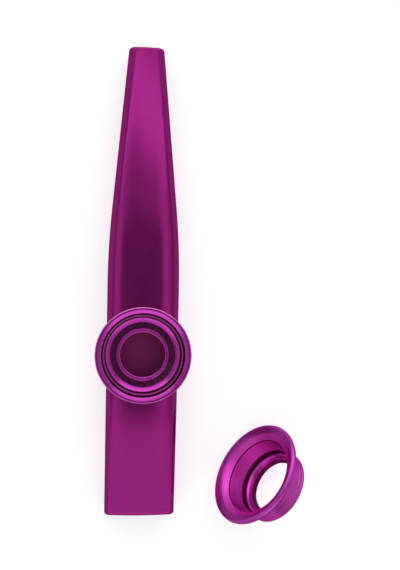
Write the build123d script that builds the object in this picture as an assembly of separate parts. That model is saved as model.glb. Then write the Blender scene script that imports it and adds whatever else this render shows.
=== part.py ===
from build123d import *
import math
import os

# A metal kazoo: a formed tube with a turned turret cup riveted on its flat side, a film disc on the
# seat of the cup, and the flared ring that clamps the film, taken off and lying on the table.
# Millimetres. The origin is on the underside, straight below the turret. +Y runs to the narrow end,
# and +Z is up, along the turret.

# Body tube, along its length from the mouth end
body_length = 120.0
mouth_to_turret = 41.0
mouth_to_shoulder = 68.0
mouth_to_level = 30.0
mouth_to_fall = 68.0
shoulder_blend = 10.0
level_blend = 9.0
section_count = 25

# Body tube, across
mouth_width = 17.7
shoulder_width = 18.2
tip_width = 9.1
mouth_height = 9.0
turret_height = 12.5
tip_height = 8.5
mouth_corner = 1.6
tip_corner = 2.1
top_crown_radius = 40.0
body_wall = 0.9
rest_land = 0.15
mouth_round = 0.4
tip_round = 0.65
inner_end_round = 0.15

# Turret cup
cup_rim_radius = 11.85
cup_rim_round = 0.7
cup_rim_flat = 0.1
cup_rim_slope = 0.8
cup_rim_drop = 0.35
cup_rim_band = 1.2
cup_groove_width = 0.35
cup_groove_depth = 1.0
cup_bore_radius = 9.5
cup_bore_length = 1.8
cup_depth = 4.2
cup_base = 1.1
cup_neck_radius = 7.3
cup_neck_height = 0.1
seat_ledge = 0.4
seat_radius = 8.1
seat_slope_height = 0.6

# Eyelet through the seat and the tube wall
eyelet_hole_radius = 5.5
eyelet_wall = 0.4
eyelet_flange_radius = 6.6
eyelet_lip_height = 0.35
eyelet_clinch = 0.4
eyelet_clearance = 0.03

# Membrane
membrane_radius = 8.2
membrane_thickness = 0.1
membrane_gap = 0.05

# Retaining cap, from the top of its flange down to the end of its collar
cap_flange_radius = 13.3
cap_edge_round = 0.8
cap_end_round = 0.3
cap_height = 9.3
cap_dish_radius = 11.1
cap_dish_depth = 0.7
cap_throat_radius = 9.6
cap_throat_depth = 2.0
cap_wall_end_radius = 8.5
cap_wall_end_depth = 5.5
cap_groove_radius = 8.9
cap_groove_chamfer = 0.1
cap_groove_depth = 6.9
cap_bead_radius = 7.8
cap_bead_round = 1.0
cap_end_radius = 6.6
collar_clearance = 0.08

# Where the cap lies: the middle of its flange from the turret axis, and the way that its flange faces
cap_place_x = 28.2
cap_place_y = -29.45
cap_heading = 146.06

# Extra length of every cut
overrun = 1.0

# Worked out from the sizes above
mouth_y = -mouth_to_turret
tip_y = body_length - mouth_to_turret
shoulder_y = mouth_to_shoulder - mouth_to_turret
level_y = mouth_to_level - mouth_to_turret
fall_y = mouth_to_fall - mouth_to_turret
seat_z = turret_height + cup_base
rim_z = seat_z + cup_depth
lip_z = seat_z + eyelet_lip_height
eyelet_barrel_radius = eyelet_hole_radius + eyelet_wall
eyelet_seat_radius = eyelet_barrel_radius + eyelet_clearance
cap_collar_radius = cup_bore_radius - collar_clearance


def ramp(distance, blend):
    """Zero before a corner and the distance after it, rounded over the blend on either side."""
    if distance <= -blend:
        return 0.0
    if distance >= blend:
        return distance
    return (distance + blend) ** 2 / (4 * blend)


def width_at(y):
    """Width of the tube: nearly parallel to the shoulder, then a straight taper."""
    before = (shoulder_width - mouth_width) / (shoulder_y - mouth_y)
    after = (tip_width - shoulder_width) / (tip_y - shoulder_y)
    return mouth_width + before * (y - mouth_y) + (after - before) * ramp(y - shoulder_y, shoulder_blend)


def height_at(y):
    """Height of the tube: it rises from the mouth, is level at the turret and falls to the tip."""
    rise = (turret_height - mouth_height) / (level_y - mouth_y)
    fall = (tip_height - turret_height) / (tip_y - fall_y)
    climb = mouth_height + rise * (y - mouth_y) - rise * ramp(y - level_y, level_blend)
    return climb + fall * ramp(y - fall_y, level_blend)


def corner_at(y):
    """Radius of the long edges, which are crisper at the mouth."""
    along_share = (y - mouth_y) / body_length
    return mouth_corner + (tip_corner - mouth_corner) * along_share


def tube_section(y, place, inset, floor):
    """Closed outline across the tube at y: flat floor, straight sides and a crowned top."""
    half = width_at(y) / 2 - inset
    top = height_at(y) - inset
    corner = corner_at(y) - inset
    crown = top_crown_radius - inset
    middle = half - corner
    lean = math.degrees(math.asin(middle / (crown - corner)))
    crown_z = top - crown
    upper = crown_z + (crown - corner) * math.cos(math.radians(lean))
    lower = floor + corner
    edges = [
        CenterArc((0, crown_z), crown, 90 - lean, 2 * lean),
        CenterArc((-middle, upper), corner, 90 + lean, 90 - lean),
        Line((-half, upper), (-half, lower)),
        CenterArc((-middle, lower), corner, 180, 90),
        Line((-middle, floor), (middle, floor)),
        CenterArc((middle, lower), corner, 270, 90),
        Line((half, lower), (half, upper)),
        CenterArc((middle, upper), corner, 0, 90 - lean),
    ]
    return Plane.XZ.offset(-place) * make_face(edges)


def tube_loft(inset, floor, extra):
    """Solid through the sections of the tube, with both ends moved out by extra."""
    sections = []
    for step in range(section_count):
        y = mouth_y + body_length * step / (section_count - 1)
        place = y
        if step == 0:
            place = y - extra
        if step == section_count - 1:
            place = y + extra
        sections.append(tube_section(y, place, inset, floor))
    return loft(sections)


def make_outer_form():
    """Outside of the tube, with a flat land pressed on its underside to rest on."""
    form = tube_loft(0, -rest_land, 0)
    below = Box(
        2 * shoulder_width,
        2 * body_length,
        overrun,
        align=(Align.CENTER, Align.CENTER, Align.MAX),
    )
    return form - below


def round_end(tube, index, outer_round):
    """Round the rim of the wall at one end of the tube."""
    end_face = tube.faces().filter_by(Axis.Y).sort_by(Axis.Y)[index]
    tube = fillet(end_face.outer_wire().edges(), outer_round)
    end_face = tube.faces().filter_by(Axis.Y).sort_by(Axis.Y)[index]
    return fillet(end_face.inner_wires()[0].edges(), inner_end_round)


def make_body_tube(outer_form):
    tube = outer_form - tube_loft(body_wall, body_wall, overrun)
    hole = Pos(0, 0, turret_height) * Cylinder(eyelet_seat_radius, turret_height)
    tube = tube - hole
    tube = round_end(tube, 0, mouth_round)
    return round_end(tube, -1, tip_round)


def turned(outline):
    """Solid of revolution about Z of a closed outline of edges in radius and height."""
    return revolve(Plane.XZ * make_face(outline), Axis.Z)


def make_turret_cup(outer_form):
    """Cup with a rounded rim, a stepped bore and a flat seat, cut to sit on the crown of the tube."""
    rim_flat_radius = cup_rim_radius - cup_rim_round
    rim_inner_radius = rim_flat_radius - cup_rim_flat
    lip_radius = rim_inner_radius - cup_rim_slope
    lip_top = rim_z - cup_rim_drop
    bore_bottom = seat_z + seat_slope_height
    bore_top = bore_bottom + cup_bore_length
    groove_bottom = bore_top - cup_groove_depth
    groove_radius = lip_radius - cup_groove_width
    slope_radius = cup_bore_radius - seat_ledge
    band_bottom = rim_z - cup_rim_round - cup_rim_band
    neck_top = turret_height + cup_neck_height
    neck_bottom = turret_height - cup_base
    bowl = TangentArc(
        (cup_neck_radius, neck_top),
        (cup_rim_radius, band_bottom),
        tangent=(1, 0),
    )
    outline = [
        Line((eyelet_seat_radius, neck_bottom), (cup_neck_radius, neck_bottom)),
        Line((cup_neck_radius, neck_bottom), (cup_neck_radius, neck_top)),
        bowl,
        Line((cup_rim_radius, band_bottom), (cup_rim_radius, rim_z - cup_rim_round)),
        CenterArc((rim_flat_radius, rim_z - cup_rim_round), cup_rim_round, 0, 90),
        Line((rim_flat_radius, rim_z), (rim_inner_radius, rim_z)),
        Line((rim_inner_radius, rim_z), (lip_radius, lip_top)),
        Line((lip_radius, lip_top), (lip_radius, groove_bottom)),
        Line((lip_radius, groove_bottom), (groove_radius, groove_bottom)),
        Line((groove_radius, groove_bottom), (groove_radius, bore_top)),
        Line((groove_radius, bore_top), (cup_bore_radius, bore_top)),
        Line((cup_bore_radius, bore_top), (cup_bore_radius, bore_bottom)),
        Line((cup_bore_radius, bore_bottom), (slope_radius, bore_bottom)),
        Line((slope_radius, bore_bottom), (seat_radius, seat_z)),
        Line((seat_radius, seat_z), (eyelet_seat_radius, seat_z)),
        Line((eyelet_seat_radius, seat_z), (eyelet_seat_radius, neck_bottom)),
    ]
    return turned(outline) - outer_form


def make_turret_eyelet(body_tube):
    """Hollow rivet: a rolled lip on the seat, a barrel and a clinched flange under the tube wall."""
    ceiling_z = turret_height - body_wall
    ceiling_radius = top_crown_radius - body_wall
    sag = ceiling_radius - math.sqrt(ceiling_radius ** 2 - eyelet_flange_radius ** 2)
    clinch_z = ceiling_z - sag - eyelet_clinch
    lip_middle = (eyelet_hole_radius + eyelet_flange_radius) / 2
    outline = [
        Line((eyelet_hole_radius, clinch_z), (eyelet_flange_radius, clinch_z)),
        Line((eyelet_flange_radius, clinch_z), (eyelet_flange_radius, ceiling_z)),
        Line((eyelet_flange_radius, ceiling_z), (eyelet_barrel_radius, ceiling_z)),
        Line((eyelet_barrel_radius, ceiling_z), (eyelet_barrel_radius, seat_z)),
        Line((eyelet_barrel_radius, seat_z), (eyelet_flange_radius, seat_z)),
        ThreePointArc((eyelet_flange_radius, seat_z), (lip_middle, lip_z), (eyelet_hole_radius, seat_z)),
        Line((eyelet_hole_radius, seat_z), (eyelet_hole_radius, clinch_z)),
    ]
    return turned(outline) - body_tube


def make_membrane():
    """Film disc, lying on the lip of the eyelet."""
    film = Cylinder(
        membrane_radius,
        membrane_thickness,
        align=(Align.CENTER, Align.CENTER, Align.MIN),
    )
    return Pos(0, 0, lip_z + membrane_gap) * film


def cap_outline():
    """Half section of the cap, standing on the end of its collar, in radius and height."""
    edge = cap_edge_round
    end = cap_end_round
    rim_middle = cap_flange_radius - edge
    rim_under = cap_height - 2 * edge
    flare_radius = rim_middle - cap_collar_radius
    collar_top = rim_under - flare_radius
    dish_z = cap_height - cap_dish_depth
    throat_z = cap_height - cap_throat_depth
    wall_end_z = cap_height - cap_wall_end_depth
    groove_top = wall_end_z - cap_groove_chamfer
    groove_bottom = cap_height - cap_groove_depth
    bead_turn = math.atan2(groove_bottom, cap_bead_radius - cap_end_radius)
    bead_reach = cap_bead_round * math.tan(bead_turn / 2)
    bead_start = (cap_bead_radius + bead_reach, groove_bottom)
    bead_end = (
        cap_bead_radius - bead_reach * math.cos(bead_turn),
        groove_bottom - bead_reach * math.sin(bead_turn),
    )
    return [
        Line((cap_end_radius, 0), (cap_collar_radius - end, 0)),
        CenterArc((cap_collar_radius - end, end), end, 270, 90),
        Line((cap_collar_radius, end), (cap_collar_radius, collar_top)),
        CenterArc((rim_middle, collar_top), flare_radius, 90, 90),
        CenterArc((rim_middle, cap_height - edge), edge, 270, 180),
        Line((rim_middle, cap_height), (cap_dish_radius, dish_z)),
        Line((cap_dish_radius, dish_z), (cap_throat_radius, throat_z)),
        Line((cap_throat_radius, throat_z), (cap_wall_end_radius, wall_end_z)),
        Line((cap_wall_end_radius, wall_end_z), (cap_groove_radius, groove_top)),
        Line((cap_groove_radius, groove_top), (cap_groove_radius, groove_bottom)),
        Line((cap_groove_radius, groove_bottom), bead_start),
        TangentArc(bead_start, bead_end, tangent=(-1, 0)),
        Line(bead_end, (cap_end_radius, 0)),
    ]


def make_retaining_cap():
    """Flared ring, lying on the rim of its flange and the end of its collar."""
    ring = turned(cap_outline())
    rim_middle = cap_flange_radius - cap_edge_round
    end_middle = cap_collar_radius - cap_end_round
    rim_run = cap_height - cap_edge_round - cap_end_round
    rim_step = rim_middle - end_middle
    rise = math.asin((cap_edge_round - cap_end_round) / math.hypot(rim_run, rim_step))
    lean = math.atan2(rim_run, rim_step) - rise
    rim_down = rim_middle * math.sin(lean)
    rim_up = (cap_height - cap_edge_round) * math.cos(lean)
    end_z = cap_edge_round + rim_down - rim_up
    flange_run = cap_height * math.sin(lean)
    end_x = cap_place_x - flange_run * math.cos(math.radians(cap_heading))
    end_y = cap_place_y - flange_run * math.sin(math.radians(cap_heading))
    lying = Rot(0, 0, cap_heading) * Rot(0, math.degrees(lean), 0)
    return Pos(end_x, end_y, end_z) * lying * ring


def main():
    os.makedirs("parts", exist_ok=True)
    outer_form = make_outer_form()
    body_tube = make_body_tube(outer_form)
    nodes = {
        "body_tube": body_tube,
        "turret_cup": make_turret_cup(outer_form),
        "turret_eyelet": make_turret_eyelet(body_tube),
        "membrane": make_membrane(),
        "retaining_cap": make_retaining_cap(),
    }
    for name, solid in nodes.items():
        export_step(solid, "parts/" + name + ".step")


main()
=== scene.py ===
import math

import bmesh
import bpy
from mathutils import Matrix, Vector


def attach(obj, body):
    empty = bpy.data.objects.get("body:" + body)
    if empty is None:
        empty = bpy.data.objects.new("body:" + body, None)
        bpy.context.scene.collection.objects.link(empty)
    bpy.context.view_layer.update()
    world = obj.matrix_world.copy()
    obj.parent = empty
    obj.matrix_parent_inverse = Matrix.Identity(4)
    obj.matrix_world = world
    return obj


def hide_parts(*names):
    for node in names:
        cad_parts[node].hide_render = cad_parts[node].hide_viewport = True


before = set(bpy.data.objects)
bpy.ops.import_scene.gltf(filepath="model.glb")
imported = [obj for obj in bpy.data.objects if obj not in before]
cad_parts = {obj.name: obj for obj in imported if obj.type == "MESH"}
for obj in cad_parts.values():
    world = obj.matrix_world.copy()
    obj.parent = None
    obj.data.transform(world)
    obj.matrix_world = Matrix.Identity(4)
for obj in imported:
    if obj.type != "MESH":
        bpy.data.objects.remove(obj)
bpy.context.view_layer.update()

# A purple anodised kazoo with its film-clamping cap taken off and laid beside it, seen from above.
# Sizes are the part's own, in millimetres, apart from a few edges that are fitted to the width of
# their reflections. Each finished mesh is scaled to metres.
MM = 0.001
QUARTER = math.pi / 2
FULL_TURN = 2 * math.pi

# Body tube, along its length
mouth_y = -41.0
tip_y = 79.0
shoulder_y = 27.0
level_y = -11.0
fall_y = 27.0
shoulder_blend = 10.0
level_blend = 9.0

# Body tube, across
mouth_width = 17.7
shoulder_width = 18.2
tip_width = 9.1
mouth_height = 9.0
turret_height = 12.5
tip_height = 8.5
mouth_corner = 1.6
tip_corner = 2.1
top_crown_radius = 40.0
body_wall = 0.9
mouth_round = 0.7
tip_round = 0.65
inner_end_round = 0.15

# Turret cup, heights above the table
rim_z = 17.8
seat_z = 13.6
cup_foot_z = 11.4
cup_neck_top = 12.6
cup_neck_radius = 7.3
cup_rim_radius = 11.85
cup_band_bottom = 15.9
cup_rim_inner_radius = 11.15
cup_lip_radius = 10.33
cup_lip_z = 17.45
cup_groove_radius = 9.9
cup_groove_z = 15.0
cup_ledge_line_radius = 9.66
cup_bore_radius = 9.5
cup_bore_top = 16.0
cup_bore_bottom = 14.2
seat_slope_radius = 9.1
seat_radius = 8.1
cup_rim_round = 0.4
cup_edge_round = 0.1
# Reach of the painted highlight on broken edges, and the band low on the rim's outer rounding that
# gets one
cup_edge_highlight_reach = 0.12
cup_rim_highlight_width = 0.25
cup_rim_highlight_top = 0.04
cup_rim_highlight_bottom = 0.35
cup_ground_half = 15.0

# Eyelet that rivets the cup to the tube
eyelet_hole_radius = 5.5
eyelet_barrel_radius = 5.9
eyelet_seat_radius = 5.93
eyelet_flange_radius = 6.6
eyelet_lip_z = 13.95
eyelet_lip_round = 0.34
eyelet_clinch = 0.4
ceiling_z = 11.6
ceiling_radius = top_crown_radius - body_wall

# Film disc, slack on one side, where it stands up a little
film_radius = 8.2
film_z = 14.0
film_thickness = 0.1
film_round = 0.04
film_bulge_x = 5.6
film_bulge_y = -5.0
film_bulge_radius = 3.4
film_bulge_height = 0.7

# Cap, standing on the end of its collar
cap_height = 9.3
cap_flange_radius = 13.3
cap_edge_round = 0.8
cap_collar_radius = 9.42
cap_end_round = 0.3
cap_dish_corner_radius = 11.1
cap_dish_corner_z = 8.6
cap_dish_round = 6.0
cap_flare_radius = 11.2
cap_throat_radius = 9.6
cap_throat_z = 7.3
cap_relief_top = 0.12
cap_relief_top_depth = 0.14
cap_relief_foot = 0.08
cap_relief_depth = 0.15
cap_relief_end = 0.17
cap_relief_end_step = 0.05
cap_relief_half = 0.15
cap_wall_end_radius = 8.5
cap_wall_end_z = 3.8
cap_groove_radius = 8.9
cap_groove_top = 3.7
cap_groove_bottom = 2.4
cap_bead_radius = 7.8
cap_bead_round = 1.0
cap_bead_foot_z = 1.1
cap_end_radius = 6.6
cap_fine_round = 0.08
cap_line_depth = 0.1
cap_line_half = 0.09
cap_line_heights = (0.9, 2.0)

# Where the cap lies
cap_place_x = 28.2
cap_place_y = -29.45
cap_heading = math.radians(146.06)

# Fineness of the meshes
STATION_STEP = 1.0
CROWN_STEPS = 24
CORNER_STEPS = 8
ROUND_STEPS = 6
ROUND_PROFILE = 0.5
TURN_STEPS = 192
SAME_POINT = 0.0005
SHARP_ANGLE = math.radians(30)

# Finishes of a piece, by their place in its list
TUBE_INSIDE = 1
# The cup's flat steps take painted shade, and its broken edges a painted highlight
CUP_PAINTED_SHADE, CUP_PAINTED_HIGHLIGHT = 1, 2
# The cap's bore and flare take painted light, and its grooves and rim painted shade
CAP_BORE_PAINTED_LIGHT, CAP_GROOVE_PAINTED_SHADE, CAP_FLARE_PAINTED_LIGHT, CAP_RIM_PAINTED_SHADE = 1, 2, 3, 4

# Fine marks on the metal
grain_length = 1.0
grain_spacing = 0.25
grain_depth = 0.003
tool_mark_spacing = 0.25
tool_mark_depth = 0.02
etch_grain = 0.4
dust_and_glint_spacing = 2.0
speck_radius = 0.1

# How far the marks swing the roughness, and the range of a noise that is used for it and for dye
GRAIN_SPREAD = 0.15
TOOL_SPREAD = 0.25
GLOSS_NOISE = (0.3, 0.7)
DYE_NOISE = (0.25, 0.75)

# Table and camera
table_half = 20000.0
table_drop = 0.02
table_glow = 0.55
camera_eye = (-8.33, 11.28, 220.0)
camera_aim = (15.54, 18.0, 0.0)
camera_roll = 0.0152
camera_lens = 52.2
camera_sensor = 36.0
camera_near = 10.0

# Cloth of the light tent: its brightness against the angle from straight up, in degrees
SIDES_CLOTH = (
    (0, 0.18), (5, 0.2), (13, 0.22), (15.8, 0.24), (17.6, 0.60), (20.5, 0.66), (22.5, 0.50),
    (24.5, 0.34), (28, 0.28), (32, 0.30), (38, 0.44), (50, 0.48), (70, 0.48), (90, 0.5), (180, 0.5),
)
TIP_CLOTH = (
    (0, 0.18), (2, 0.2), (5, 0.215), (8, 0.225), (13, 0.25), (15, 0.32), (16.5, 0.40), (17.9, 0.46),
    (18.6, 0.50), (19.2, 0.61), (19.9, 0.77), (20.7, 0.98), (23.6, 1.02), (25.6, 0.82), (28, 0.6),
    (33, 0.45), (40, 1.1), (65, 1.3), (80, 1.3), (88, 0.9), (180, 0.6),
)
MOUTH_CLOTH = (
    (0, 0.18), (14, 0.19), (16, 0.29), (18, 0.46), (20.4, 0.55), (22.3, 0.65), (23.5, 0.69),
    (33, 0.67), (40, 1.1), (52, 1.1), (66, 0.6), (80, 0.2), (90, 0.2), (180, 0.2),
)
# Where the cloth of an end starts and is full, as the lengthwise share of a bearing
TIP_BEARING = (0.62, 0.80)
MOUTH_BEARING = (-0.45, -0.75)
# Opening overhead: its place across, how square it is, and how it slants at the tip end
OPENING_SHIFT = math.radians(0.8)
OPENING_POWER = 4.0
SLANT_LEFT = math.radians(-5.7)
SLANT_RIGHT = math.radians(2.3)
SLANT_REACH = math.radians(-1.5)


def ramp(distance, blend):
    """Zero before a corner and the distance after it, rounded over the blend on either side."""
    if distance <= -blend:
        return 0.0
    if distance >= blend:
        return distance
    return (distance + blend) ** 2 / (4 * blend)


def width_at(y):
    before = (shoulder_width - mouth_width) / (shoulder_y - mouth_y)
    after = (tip_width - shoulder_width) / (tip_y - shoulder_y)
    bend = (after - before) * ramp(y - shoulder_y, shoulder_blend)
    return mouth_width + before * (y - mouth_y) + bend


def height_at(y):
    rise = (turret_height - mouth_height) / (level_y - mouth_y)
    fall = (tip_height - turret_height) / (tip_y - fall_y)
    climb = mouth_height + rise * (y - mouth_y) - rise * ramp(y - level_y, level_blend)
    return climb + fall * ramp(y - fall_y, level_blend)


def corner_at(y):
    return mouth_corner + (tip_corner - mouth_corner) * (y - mouth_y) / (tip_y - mouth_y)


def swing(bm, end, centre, angle, steps):
    """Carry the loose end of an outline round a centre across the tube. Gives the new end."""
    swept = bmesh.ops.spin(
        bm, geom=[end], cent=centre, axis=(0, 1, 0), angle=angle, steps=steps, use_merge=False
    )
    return next(g for g in swept["geom_last"] if isinstance(g, bmesh.types.BMVert))


def draw(bm, end, move):
    """Carry the loose end of an outline straight on. Gives the new end."""
    grown = bmesh.ops.extrude_vert_indiv(bm, verts=[end])["verts"]
    bmesh.ops.translate(bm, verts=grown, vec=move)
    return grown[0]


def tube_ring(y, inset):
    """Outline across the tube at y: crowned top, rounded long edges, straight sides, flat floor."""
    half = width_at(y) / 2 - inset
    corner = corner_at(y) - inset
    crown = top_crown_radius - inset
    crown_z = height_at(y) - inset - crown
    middle = half - corner
    lean = math.asin(middle / (crown - corner))
    upper = crown_z + (crown - corner) * math.cos(lean)
    lower = inset + corner
    ring = bmesh.new()
    start = ring.verts.new((-crown * math.sin(lean), y, crown_z + crown * math.cos(lean)))
    end = swing(ring, start, (0, y, crown_z), 2 * lean, CROWN_STEPS)
    end = swing(ring, end, (middle, y, upper), QUARTER - lean, CORNER_STEPS)
    end = draw(ring, end, (0, 0, lower - upper))
    end = swing(ring, end, (middle, y, lower), QUARTER, CORNER_STEPS)
    end = draw(ring, end, (-2 * middle, 0, 0))
    end = swing(ring, end, (-middle, y, lower), QUARTER, CORNER_STEPS)
    end = draw(ring, end, (0, 0, upper - lower))
    end = swing(ring, end, (-middle, y, upper), QUARTER - lean, CORNER_STEPS)
    bmesh.ops.pointmerge(ring, verts=[start, end], merge_co=start.co)
    return ring


def tube_skin(bm, y_from, y_to, inset):
    """Skin of the tube between two places along it. Gives its open edges, mouth end first."""
    count = round((y_to - y_from) / STATION_STEP)
    outline = bpy.data.meshes.new("outline")
    for step in range(count + 1):
        ring = tube_ring(y_from + STATION_STEP * step, inset)
        ring.to_mesh(outline)
        ring.free()
        bm.from_mesh(outline)
    bpy.data.meshes.remove(outline)
    rings = [edge for edge in bm.edges if edge.is_wire]
    bmesh.ops.bridge_loops(bm, edges=rings)
    middle_y = (y_from + y_to) / 2
    open_edges = [edge for edge in rings if edge.is_boundary]
    near = [edge for edge in open_edges if edge.verts[0].co.y < middle_y]
    far = [edge for edge in open_edges if edge.verts[0].co.y > middle_y]
    return near, far


def carve(solid, cutter):
    """Cut one closed mesh out of another. Gives what is left of the first."""
    blocks = []
    for shape in (solid, cutter):
        mesh = bpy.data.meshes.new("carving")
        shape.to_mesh(mesh)
        block = bpy.data.objects.new("carving", mesh)
        bpy.context.scene.collection.objects.link(block)
        blocks.append(block)
    cut = blocks[0].modifiers.new("cut", "BOOLEAN")
    cut.operation = "DIFFERENCE"
    cut.solver = "EXACT"
    cut.object = blocks[1]
    left = bmesh.new()
    left.from_object(blocks[0], bpy.context.evaluated_depsgraph_get())
    for block in blocks:
        bpy.data.meshes.remove(block.data)
    solid.free()
    return left


def make_tube():
    """Seamless tube with rounded ends and the hole that the eyelet passes through."""
    bm = bmesh.new()
    outer_mouth, outer_tip = tube_skin(bm, mouth_y, tip_y, 0)
    outside = set(bm.faces)
    inner_mouth, inner_tip = tube_skin(bm, mouth_y, tip_y, body_wall)
    for face in bm.faces:
        if face not in outside:
            face.material_index = TUBE_INSIDE
    bmesh.ops.bridge_loops(bm, edges=outer_mouth + inner_mouth)
    bmesh.ops.bridge_loops(bm, edges=outer_tip + inner_tip)
    bmesh.ops.recalc_face_normals(bm, faces=bm.faces)
    rims = (
        (outer_mouth, mouth_round),
        (inner_mouth, inner_end_round),
        (outer_tip, tip_round),
        (inner_tip, inner_end_round),
    )
    for edges, rounding in rims:
        bmesh.ops.bevel(
            bm, geom=edges, offset=rounding, offset_type="OFFSET", affect="EDGES",
            segments=ROUND_STEPS, profile=ROUND_PROFILE, material=-1, clamp_overlap=False,
        )
    hole = bmesh.new()
    bmesh.ops.create_cone(
        hole, cap_ends=True, segments=TURN_STEPS, radius1=eyelet_seat_radius,
        radius2=eyelet_seat_radius, depth=turret_height,
        matrix=Matrix.Translation((0, 0, turret_height)),
    )
    left = carve(bm, hole)
    hole.free()
    return left


def make_turret_ground():
    """Solid block of the tube's outside under the turret, which the foot of the cup is cut to."""
    bm = bmesh.new()
    for edges in tube_skin(bm, -cup_ground_half, cup_ground_half, 0):
        bmesh.ops.contextual_create(bm, geom=edges)
    bmesh.ops.recalc_face_normals(bm, faces=bm.faces)
    return bm


def turned(corners):
    """Turn a closed half section about Z. A corner is its radius, its height and its rounding."""
    bm = bmesh.new()
    points = [Vector((radius, 0, height)) for radius, height, rounding in corners]
    verts = [bm.verts.new(point) for point in points]
    bm.faces.new(verts)
    for place, vert in enumerate(verts):
        rounding = corners[place][2]
        if rounding:
            coming = points[place] - points[place - 1]
            going = points[(place + 1) % len(points)] - points[place]
            bmesh.ops.bevel(
                bm, geom=[vert], offset=rounding * math.tan(coming.angle(going) / 2),
                offset_type="OFFSET", affect="VERTICES", segments=ROUND_STEPS,
                profile=ROUND_PROFILE, material=-1, clamp_overlap=False,
            )
    bmesh.ops.delete(bm, geom=bm.faces[:], context="FACES_ONLY")
    bmesh.ops.remove_doubles(bm, verts=bm.verts, dist=SAME_POINT)
    bmesh.ops.spin(
        bm, geom=bm.verts[:] + bm.edges[:], cent=(0, 0, 0), axis=(0, 0, 1), angle=FULL_TURN,
        steps=TURN_STEPS, use_merge=True,
    )
    bmesh.ops.remove_doubles(bm, verts=bm.verts, dist=SAME_POINT)
    bmesh.ops.recalc_face_normals(bm, faces=bm.faces)
    return bm


def finish_part(bm, number, belongs):
    """Give the faces of a turned shape whose radius and height belong the finish of that number."""
    for face in bm.faces:
        middle = face.calc_center_median()
        if belongs(middle.xy.length, middle.z):
            face.material_index = number


def make_cup():
    """Bowl with a rounded rim, a stepped bore and a flat seat for the film."""
    bowl_run = cup_rim_radius - cup_neck_radius
    bowl_rise = cup_band_bottom - cup_neck_top
    bowl_round = (bowl_run ** 2 + bowl_rise ** 2) / (2 * bowl_rise)
    bowl_turn = math.asin(bowl_run / bowl_round)
    bowl_corner_radius = cup_neck_radius + bowl_round * math.tan(bowl_turn / 2)
    bm = turned([
        (eyelet_seat_radius, cup_foot_z, 0),
        (cup_neck_radius, cup_foot_z, 0),
        (cup_neck_radius, cup_neck_top, 0),
        (bowl_corner_radius, cup_neck_top, bowl_round),
        (cup_rim_radius, cup_band_bottom, 0),
        (cup_rim_radius, rim_z, cup_rim_round),
        (cup_rim_inner_radius, rim_z, cup_edge_round),
        (cup_lip_radius, cup_lip_z, cup_edge_round),
        (cup_lip_radius, cup_groove_z, 0),
        (cup_groove_radius, cup_groove_z, 0),
        (cup_groove_radius, cup_bore_top, cup_edge_round),
        (cup_ledge_line_radius, cup_bore_top, 0),
        (cup_bore_radius, cup_bore_top, cup_edge_round),
        (cup_bore_radius, cup_bore_bottom, 0),
        (seat_slope_radius, cup_bore_bottom, cup_edge_round),
        (seat_radius, seat_z, cup_edge_round),
        (eyelet_seat_radius, seat_z, 0),
    ])
    levels = (seat_z, cup_bore_bottom, cup_groove_z, cup_bore_top)
    edges = (
        (cup_lip_radius, cup_lip_z),
        (cup_groove_radius, cup_bore_top),
        (seat_slope_radius, cup_bore_bottom),
    )

    def is_level(radius, height):
        return radius < cup_lip_radius and any(abs(height - level) < SAME_POINT for level in levels)

    def is_ledge(radius, height):
        on_top = height > cup_bore_top - cup_edge_round
        return on_top and cup_ledge_line_radius < radius < cup_groove_radius

    def is_edge(radius, height):
        return any(math.dist((radius, height), edge) < cup_edge_highlight_reach for edge in edges)

    def is_rim_highlight_line(radius, height):
        in_line = rim_z - cup_rim_highlight_bottom < height < rim_z - cup_rim_highlight_top
        return in_line and radius > cup_rim_radius - cup_rim_highlight_width

    # Level faces inside the cup get a darker dye: painted shade
    finish_part(bm, CUP_PAINTED_SHADE, is_level)
    # Broken edges, the ledge and a thin band on the rim's rounding get a paler dye: painted
    # highlight
    for belongs in (is_ledge, is_edge, is_rim_highlight_line):
        finish_part(bm, CUP_PAINTED_HIGHLIGHT, belongs)
    return bm


def make_eyelet():
    """Hollow rivet: a rolled lip on the seat, a barrel and a clinched flange inside the tube."""
    sag = ceiling_radius - math.sqrt(ceiling_radius ** 2 - eyelet_flange_radius ** 2)
    clinch_z = ceiling_z - sag - eyelet_clinch
    return turned([
        (eyelet_hole_radius, clinch_z, cup_edge_round),
        (eyelet_flange_radius, clinch_z, cup_edge_round),
        (eyelet_flange_radius, ceiling_z, 0),
        (eyelet_barrel_radius, ceiling_z, 0),
        (eyelet_barrel_radius, seat_z, 0),
        (eyelet_flange_radius, seat_z, 0),
        (eyelet_flange_radius, eyelet_lip_z, eyelet_lip_round),
        (eyelet_hole_radius, eyelet_lip_z, eyelet_lip_round),
    ])


def make_film():
    """Disc of clear film, punched out, lying on the lip of the eyelet."""
    film_top = film_z + film_thickness
    return turned([
        (0, film_z, 0),
        (film_radius, film_z, film_round),
        (film_radius, film_top, film_round),
        (0, film_top, 0),
    ])


def cap_lying():
    """Place of the cap: it leans on the rim of its flange and the end of its collar."""
    rim_middle = cap_flange_radius - cap_edge_round
    rim_step = rim_middle - (cap_collar_radius - cap_end_round)
    rim_run = cap_height - cap_edge_round - cap_end_round
    rise = math.asin((cap_edge_round - cap_end_round) / math.hypot(rim_run, rim_step))
    lean = math.atan2(rim_run, rim_step) - rise
    rim_down = rim_middle * math.sin(lean)
    rim_up = (cap_height - cap_edge_round) * math.cos(lean)
    flange_run = cap_height * math.sin(lean)
    end = Vector((
        cap_place_x - flange_run * math.cos(cap_heading),
        cap_place_y - flange_run * math.sin(cap_heading),
        cap_edge_round + rim_down - rim_up,
    ))
    headed = Matrix.Translation(end) @ Matrix.Rotation(cap_heading, 4, "Z")
    return headed @ Matrix.Rotation(lean, 4, "Y")


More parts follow.
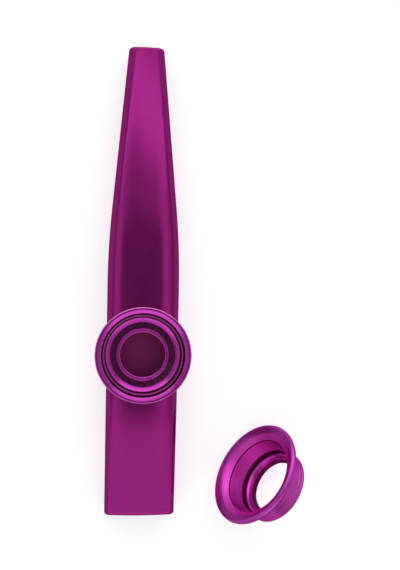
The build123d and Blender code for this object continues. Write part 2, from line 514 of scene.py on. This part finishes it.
def make_cap():
    """Flared ring with a stepped bore: bell-mouthed flange, straight throat, ledge and bead."""
    under_rim = cap_height - 2 * cap_edge_round
    rim_middle = cap_flange_radius - cap_edge_round
    relief_radius = cap_throat_radius + cap_relief_depth
    relief_end_z = cap_throat_z - cap_relief_end
    bead_share = cap_bead_foot_z / cap_groove_bottom
    bead_foot_radius = cap_end_radius + (cap_bead_radius - cap_end_radius) * bead_share
    collar = [
        (bead_foot_radius, cap_bead_foot_z, 0),
        (cap_end_radius, 0, cap_fine_round),
        (cap_collar_radius, 0, cap_end_round),
    ]
    for height in cap_line_heights:
        collar += [
            (cap_collar_radius, height - cap_line_half, 0),
            (cap_collar_radius - cap_line_depth, height, 0),
            (cap_collar_radius, height + cap_line_half, 0),
        ]
    bm = turned(collar + [
        (cap_collar_radius, under_rim, rim_middle - cap_collar_radius),
        (cap_flange_radius, under_rim, cap_edge_round),
        (cap_flange_radius, cap_height, cap_edge_round),
        (rim_middle, cap_height, 0),
        (cap_dish_corner_radius, cap_dish_corner_z, cap_dish_round),
        (cap_throat_radius + cap_relief_top_depth, cap_throat_z + cap_relief_top, 0),
        (relief_radius, cap_throat_z - cap_relief_foot, 0),
        (cap_throat_radius - cap_relief_end_step, relief_end_z, 0),
        (cap_wall_end_radius, cap_wall_end_z, 0),
        (cap_groove_radius, cap_groove_top, 0),
        (cap_groove_radius, cap_groove_bottom, 0),
        (cap_bead_radius, cap_groove_bottom, cap_bead_round),
    ])

    def is_bore(radius, height):
        return cap_wall_end_z < height < relief_end_z and radius < cap_throat_radius

    def is_relief(radius, height):
        return abs(height - cap_throat_z) < cap_relief_half and radius < relief_radius

    def is_groove(radius, height):
        in_groove = cap_groove_bottom <= height < cap_wall_end_z
        return in_groove and radius < cap_groove_radius + SAME_POINT

    def is_bead_foot(radius, height):
        return 0 < height < cap_bead_foot_z and radius < cap_bead_radius

    def is_flare(radius, height):
        return relief_radius < radius < cap_flare_radius and height > cap_throat_z

    def is_rim(radius, height):
        return radius > cap_flare_radius

    # The bore gets a paler dye: painted light
    finish_part(bm, CAP_BORE_PAINTED_LIGHT, is_bore)
    # The relief, the groove and the foot of the bead get a darker dye: painted shade
    for belongs in (is_relief, is_groove, is_bead_foot):
        finish_part(bm, CAP_GROOVE_PAINTED_SHADE, belongs)
    # The flare gets a paler dye: painted light
    finish_part(bm, CAP_FLARE_PAINTED_LIGHT, is_flare)
    # The rim gets a darker, more violet dye: painted shade
    finish_part(bm, CAP_RIM_PAINTED_SHADE, is_rim)
    bmesh.ops.transform(bm, matrix=cap_lying(), verts=bm.verts)
    return bm


def linear(code):
    """Scene-linear colour of an sRGB hex value."""
    shares = [int(code[place:place + 2], 16) / 255 for place in (1, 3, 5)]
    return [s / 12.92 if s <= 0.04045 else ((s + 0.055) / 1.055) ** 2.4 for s in shares] + [1]


def add(tree, kind, inputs=None, **settings):
    """Add a node. Each input is given a value, or the output socket that feeds it."""
    node = tree.nodes.new(kind)
    for name, value in settings.items():
        setattr(node, name, value)
    for key, value in (inputs or {}).items():
        if isinstance(value, bpy.types.NodeSocket):
            tree.links.new(value, node.inputs[key])
        else:
            node.inputs[key].default_value = value
    return node


def new_finish(name):
    """Empty material. Gives it, its node tree and its shader."""
    finish = bpy.data.materials.new(name)
    finish.use_nodes = True
    return finish, finish.node_tree, finish.node_tree.nodes["Principled BSDF"]


def dust_and_glints(tree, place):
    """Share of a stray bright speck at odd places on the metal: dust, and partly a painted glint.
    """
    cells = add(tree, "ShaderNodeTexVoronoi", {"Vector": place, "Scale": 1 / (dust_and_glint_spacing * MM)})
    return add(
        tree, "ShaderNodeMath",
        {0: cells.outputs["Distance"], 1: speck_radius / dust_and_glint_spacing}, operation="LESS_THAN",
    ).outputs[0]


def dyed(tree, noise, dyes):
    """Colour that wanders with a noise between two depths of dye."""
    depth = add(
        tree, "ShaderNodeMapRange",
        {"Value": noise.outputs["Fac"], "From Min": DYE_NOISE[0], "From Max": DYE_NOISE[1]},
    )
    return add(
        tree, "ShaderNodeMix",
        {"Factor": depth.outputs[0], "A": linear(dyes[0]), "B": linear(dyes[1])},
        data_type="RGBA",
    ).outputs["Result"]


def anodise(tree, shader, colour, marks, roughness, spread, depth):
    """Make a shader dyed, sealed metal. Its marks swing the roughness and stand up by a depth."""
    gloss = add(
        tree, "ShaderNodeMapRange",
        {
            "Value": marks.outputs["Fac"], "From Min": GLOSS_NOISE[0], "From Max": GLOSS_NOISE[1],
            "To Min": roughness * (1 - spread), "To Max": roughness * (1 + spread),
        },
    )
    relief = add(
        tree, "ShaderNodeBump",
        {"Strength": 1.0, "Distance": depth * MM, "Height": marks.outputs["Fac"]},
    )
    tree.links.new(colour, shader.inputs["Base Color"])
    tree.links.new(gloss.outputs[0], shader.inputs["Roughness"])
    tree.links.new(relief.outputs[0], shader.inputs["Normal"])
    shader.inputs["Metallic"].default_value = 1.0
    # Dye still shows at a grazing angle, and the seal adds a thin clear gloss
    shader.inputs["Specular Tint"].default_value = linear("#B060A0")
    shader.inputs["Coat Weight"].default_value = 0.15
    shader.inputs["Coat Roughness"].default_value = 0.1


def drawn_aluminium(name, dyes, roughness):
    """Aluminium tube, drawn, bright dipped and dyed purple in its anodic layer.

    The eye gets a tinted metal gloss, softened by a faint grain that runs across the tube.
    """
    finish, tree, shader = new_finish(name)
    place = add(tree, "ShaderNodeTexCoord").outputs["Object"]
    # Polishing lines, coarser than real ones, which wouldn't show
    across = 1 / (grain_length * MM)
    along = 1 / (grain_spacing * MM)
    stretch = add(
        tree, "ShaderNodeVectorMath", {0: place, 1: (across, along, across)}, operation="MULTIPLY"
    )
    grain = add(
        tree, "ShaderNodeTexNoise", {"Vector": stretch.outputs[0], "Scale": 1.0, "Detail": 2.0}
    )
    anodise(tree, shader, dyed(tree, grain, dyes), grain, roughness, GRAIN_SPREAD, grain_depth)
    return finish


def turned_aluminium(name, lying, dyes, roughness):
    """Aluminium turned on a lathe, bright dipped and anodised purple.

    The eye gets a brighter tinted gloss with fine rings round the axis of the piece. A rougher cut
    spreads its reflections to a satin.
    """
    finish, tree, shader = new_finish(name)
    upright = lying.inverted()
    place = add(tree, "ShaderNodeTexCoord").outputs["Object"]
    standing = add(
        tree, "ShaderNodeMapping",
        {
            "Vector": place, "Location": upright.to_translation() * MM,
            "Rotation": upright.to_euler(),
        },
    )
    flat = add(
        tree, "ShaderNodeVectorMath", {0: standing.outputs[0], 1: (1.0, 1.0, 0.0)},
        operation="MULTIPLY",
    )
    radius = add(tree, "ShaderNodeVectorMath", {0: flat.outputs[0]}, operation="LENGTH")
    height = add(tree, "ShaderNodeSeparateXYZ", {0: standing.outputs[0]})
    section = add(
        tree, "ShaderNodeCombineXYZ", {"X": radius.outputs["Value"], "Y": height.outputs["Z"]}
    )
    # Tool marks, coarser than real ones, which wouldn't show
    rings = add(
        tree, "ShaderNodeTexNoise",
        {"Vector": section.outputs[0], "Scale": 1 / (tool_mark_spacing * MM), "Detail": 1.0},
    )
    # Grain of the etched surface under the dye
    etch = add(
        tree, "ShaderNodeTexNoise", {"Vector": place, "Scale": 1 / (etch_grain * MM), "Detail": 2.0}
    )
    # Stray pale specks: dust, and partly painted glints
    dust_and_glint_specked = add(
        tree, "ShaderNodeMix",
        {"Factor": dust_and_glints(tree, place), "A": dyed(tree, etch, dyes), "B": linear("#E8A0D8")},
        data_type="RGBA",
    ).outputs["Result"]
    anodise(tree, shader, dust_and_glint_specked, rings, roughness, TOOL_SPREAD, tool_mark_depth * roughness)
    return finish


def clear_film():
    """Thin clear polyester film. The eye gets a faint grey veil, and a glint where it bulges."""
    finish, tree, shader = new_finish("clear_polyester_film")
    place = add(tree, "ShaderNodeTexCoord").outputs["Object"]
    bulge = add(
        tree, "ShaderNodeMapping",
        {
            "Vector": place,
            "Location": (film_bulge_x * MM, film_bulge_y * MM, film_z * MM),
            "Scale": (film_bulge_radius * MM, film_bulge_radius * MM, 1.0),
        },
        vector_type="TEXTURE",
    )
    dome = add(
        tree, "ShaderNodeTexGradient", {"Vector": bulge.outputs[0]}, gradient_type="SPHERICAL"
    )
    relief = add(
        tree, "ShaderNodeBump",
        {"Strength": 1.0, "Distance": film_bulge_height * MM, "Height": dome.outputs["Fac"]},
    )
    tree.links.new(relief.outputs[0], shader.inputs["Normal"])
    shader.inputs["Base Color"].default_value = linear("#B8B4C4")
    shader.inputs["Transmission Weight"].default_value = 1.0
    shader.inputs["Roughness"].default_value = 0.05
    shader.inputs["IOR"].default_value = 1.5
    shader.inputs["Alpha"].default_value = 0.25
    return finish


def place_piece(bm, name, node, body, finishes):
    """Scale a shape to metres and put it in the scene in place of its CAD node."""
    bmesh.ops.scale(bm, vec=(MM, MM, MM), verts=bm.verts)
    mesh = bpy.data.meshes.new(name)
    bm.to_mesh(mesh)
    bm.free()
    mesh.shade_smooth()
    mesh.set_sharp_from_angle(angle=SHARP_ANGLE)
    for finish in finishes:
        mesh.materials.append(finish)
    piece = bpy.data.objects.new(name, mesh)
    bpy.context.scene.collection.objects.link(piece)
    normals = piece.modifiers.new("even normals", "WEIGHTED_NORMAL")
    normals.keep_sharp = True
    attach(piece, body)
    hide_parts(node)
    return piece


tube = make_tube()
ground = make_turret_ground()
cup = carve(make_cup(), ground)
ground.free()
eyelet = carve(make_eyelet(), tube)

# Each dye runs from its deepest to its palest
TUBE_DYES = ("#A62285", "#B2278F")
HOLLOW_DYES = ("#CC3A98", "#DE46AA")
BRIGHT_DYES = ("#BC34A8", "#D646C4")
# The darker dye is painted shade, on the cup's flat steps and in the cap's grooves
PAINTED_SHADE_DYES = ("#701458", "#98287E")
# Paler dye for painted highlights on the cup's edges
PAINTED_HIGHLIGHT_DYES = ("#DC88CC", "#E898D8")
PALE_DYES = ("#F04AD4", "#FC58E2")
CAP_DYES = ("#D648BE", "#EC58D4")
# Paler dye in the cap's bore: painted light where it lies in shade
BORE_PAINTED_LIGHT_DYES = ("#F452DA", "#FC5EE4")
# Darker dye on the cap's rim: painted shade
RIM_PAINTED_SHADE_DYES = ("#C444B8", "#DC54D0")

# The tube is polished outside, with clear dark reflections. Inside it is left dull and even.
finish_tube = drawn_aluminium("anodised_drawn_aluminium", TUBE_DYES, 0.095)
finish_inside = drawn_aluminium("anodised_drawn_aluminium_inside", HOLLOW_DYES, 0.45)
# The cup is turned bright. Its flat steps get a darker dye as painted shade, and its broken edges a
# paler dye as a painted highlight.
turret_stance = Matrix.Identity(4)
finish_turret = turned_aluminium("anodised_turned_aluminium", turret_stance, BRIGHT_DYES, 0.11)
finish_seat_painted_shade = turned_aluminium("anodised_faced_aluminium_painted_shade", turret_stance, PAINTED_SHADE_DYES, 0.22)
finish_edge_painted_highlight = turned_aluminium("anodised_edge_aluminium_painted_highlight", turret_stance, PAINTED_HIGHLIGHT_DYES, 0.2)
# The lip of the eyelet is rolled to a pale gloss
finish_eyelet = turned_aluminium("anodised_rolled_aluminium", turret_stance, PALE_DYES, 0.2)
# The cap is turned to a satin. Its flare and bore are rougher and get a paler dye as painted light,
# and its grooves and rim a darker one as painted shade.
cap_stance = cap_lying()
finish_cap = turned_aluminium("anodised_satin_turned_aluminium", cap_stance, CAP_DYES, 0.28)
finish_bore_painted_light = turned_aluminium("anodised_bored_aluminium_painted_light", cap_stance, BORE_PAINTED_LIGHT_DYES, 0.42)
finish_groove_painted_shade = turned_aluminium("anodised_grooved_aluminium_painted_shade", cap_stance, PAINTED_SHADE_DYES, 0.3)
# Paler dye on the flare: painted light
finish_flare_painted_light = turned_aluminium("anodised_flared_aluminium_painted_light", cap_stance, PALE_DYES, 0.4)
finish_rim_painted_shade = turned_aluminium("anodised_rim_aluminium_painted_shade", cap_stance, RIM_PAINTED_SHADE_DYES, 0.28)
finish_film = clear_film()

place_piece(
    tube, "kazoo_tube", "body_tube", "kazoo",
    [finish_tube, finish_inside],
)
place_piece(
    cup, "kazoo_turret_cup", "turret_cup", "kazoo",
    [finish_turret, finish_seat_painted_shade, finish_edge_painted_highlight],
)
place_piece(
    eyelet, "kazoo_turret_eyelet", "turret_eyelet", "kazoo",
    [finish_eyelet],
)
place_piece(make_film(), "kazoo_film", "membrane", "film", [finish_film])
place_piece(
    make_cap(), "kazoo_cap", "retaining_cap", "cap",
    [finish_cap, finish_bore_painted_light, finish_groove_painted_shade, finish_flare_painted_light, finish_rim_painted_shade],
)


def make_floor():
    """Plain white table, a touch below the object."""
    bm = bmesh.new()
    bmesh.ops.create_grid(bm, x_segments=1, y_segments=1, size=table_half * MM)
    bmesh.ops.translate(bm, verts=bm.verts, vec=(0, 0, -table_drop * MM))
    mesh = bpy.data.meshes.new("white_table")
    bm.to_mesh(mesh)
    bm.free()
    floor = bpy.data.objects.new("white_table", mesh)
    bpy.context.scene.collection.objects.link(floor)
    paint, tree, shader = new_finish("white_table_paint")
    shader.inputs["Base Color"].default_value = linear("#F0F0F0")
    shader.inputs["Roughness"].default_value = 0.9
    shader.inputs["Specular IOR Level"].default_value = 0.0
    # The table is lifted to white where it is looked at, and keeps its shadows
    ray = add(tree, "ShaderNodeLightPath")
    seen = add(
        tree, "ShaderNodeMath",
        {0: ray.outputs["Is Camera Ray"], 1: ray.outputs["Is Transmission Ray"]},
        operation="MAXIMUM",
    )
    glow = add(tree, "ShaderNodeMath", {0: seen.outputs[0], 1: table_glow}, operation="MULTIPLY")
    shader.inputs["Emission Color"].default_value = linear("#FFFFFF")
    tree.links.new(glow.outputs[0], shader.inputs["Emission Strength"])
    mesh.materials.append(paint)


def make_light_tent():
    """White light tent with the camera's opening overhead, which polished metal shows dark."""
    world = bpy.data.worlds.new("light_tent")
    bpy.context.scene.world = world
    world.use_nodes = True
    tree = world.node_tree

    def reckon(first, second, operation):
        return add(tree, "ShaderNodeMath", {0: first, 1: second}, operation=operation).outputs[0]

    way = add(tree, "ShaderNodeTexCoord").outputs["Generated"]
    to = add(tree, "ShaderNodeSeparateXYZ", {0: way}).outputs
    across = reckon(to["X"], to["Z"], "ARCTAN2")
    along = reckon(to["Y"], to["Z"], "ARCTAN2")
    centred = reckon(across, OPENING_SHIFT, "SUBTRACT")
    # The opening reaches a little further out on the left of the tip end
    slant = add(
        tree, "ShaderNodeMapRange",
        {
            "Value": across, "From Min": SLANT_LEFT, "From Max": SLANT_RIGHT,
            "To Min": SLANT_REACH, "To Max": 0.0,
        },
    ).outputs[0]
    slanted = reckon(along, reckon(slant, reckon(along, 0.0, "GREATER_THAN"), "MULTIPLY"), "ADD")
    # High powers make the opening a square with rounded corners
    wide = reckon(centred, OPENING_POWER, "POWER")
    long = reckon(slanted, OPENING_POWER, "POWER")
    angle = reckon(reckon(wide, long, "ADD"), 1 / OPENING_POWER, "POWER")
    share = reckon(angle, math.pi, "DIVIDE")
    level = add(tree, "ShaderNodeVectorMath", {0: way, 1: (1.0, 1.0, 0.0)}, operation="MULTIPLY")
    bearing = add(tree, "ShaderNodeVectorMath", {0: level.outputs[0]}, operation="NORMALIZE")
    lengthwise = add(tree, "ShaderNodeSeparateXYZ", {0: bearing.outputs[0]}).outputs["Y"]

    def hang(stops):
        cloth = add(tree, "ShaderNodeValToRGB", {"Fac": share})
        row = cloth.color_ramp.elements
        while len(row) < len(stops):
            row.new(0.5)
        for element, (degrees, brightness) in zip(row, stops):
            element.position = degrees / 180
            element.color = (brightness, brightness, brightness, 1)
        return cloth.outputs["Color"]

    tent = hang(SIDES_CLOTH)
    for stops, (start, full) in ((TIP_CLOTH, TIP_BEARING), (MOUTH_CLOTH, MOUTH_BEARING)):
        part = add(
            tree, "ShaderNodeMapRange",
            {"Value": lengthwise, "From Min": start, "From Max": full},
            interpolation_type="SMOOTHSTEP",
        )
        tent = add(
            tree, "ShaderNodeMix", {"Factor": part.outputs[0], "A": tent, "B": hang(stops)},
            data_type="RGBA",
        ).outputs["Result"]
    # Behind the object the camera sees plain white
    seen = add(tree, "ShaderNodeLightPath").outputs["Is Camera Ray"]
    backdrop = add(
        tree, "ShaderNodeMix", {"Factor": seen, "A": tent, "B": linear("#FFFFFF")},
        data_type="RGBA",
    )
    background = tree.nodes["Background"]
    tree.links.new(backdrop.outputs["Result"], background.inputs["Color"])
    background.inputs["Strength"].default_value = 1.0


def make_camera():
    """Camera almost straight above, a little to the left, as in the photograph."""
    lens = bpy.data.cameras.new("camera")
    lens.sensor_width = camera_sensor
    lens.lens = camera_lens
    lens.clip_start = camera_near * MM
    camera = bpy.data.objects.new("camera", lens)
    bpy.context.scene.collection.objects.link(camera)
    eye = Vector(camera_eye) * MM
    aim = Vector(camera_aim) * MM
    ahead = (aim - eye).normalized()
    right = ahead.cross(Vector((0, 1, 0))).normalized()
    up = right.cross(ahead)
    rolled_right = right * math.cos(camera_roll) + up * math.sin(camera_roll)
    rolled_up = up * math.cos(camera_roll) - right * math.sin(camera_roll)
    turn = Matrix((rolled_right, rolled_up, -ahead)).transposed()
    camera.matrix_world = Matrix.Translation(eye) @ turn.to_4x4()
    bpy.context.scene.camera = camera


make_floor()
make_light_tent()
make_camera()
bpy.context.scene.view_settings.view_transform = "Standard"

bpy.context.view_layer.update()
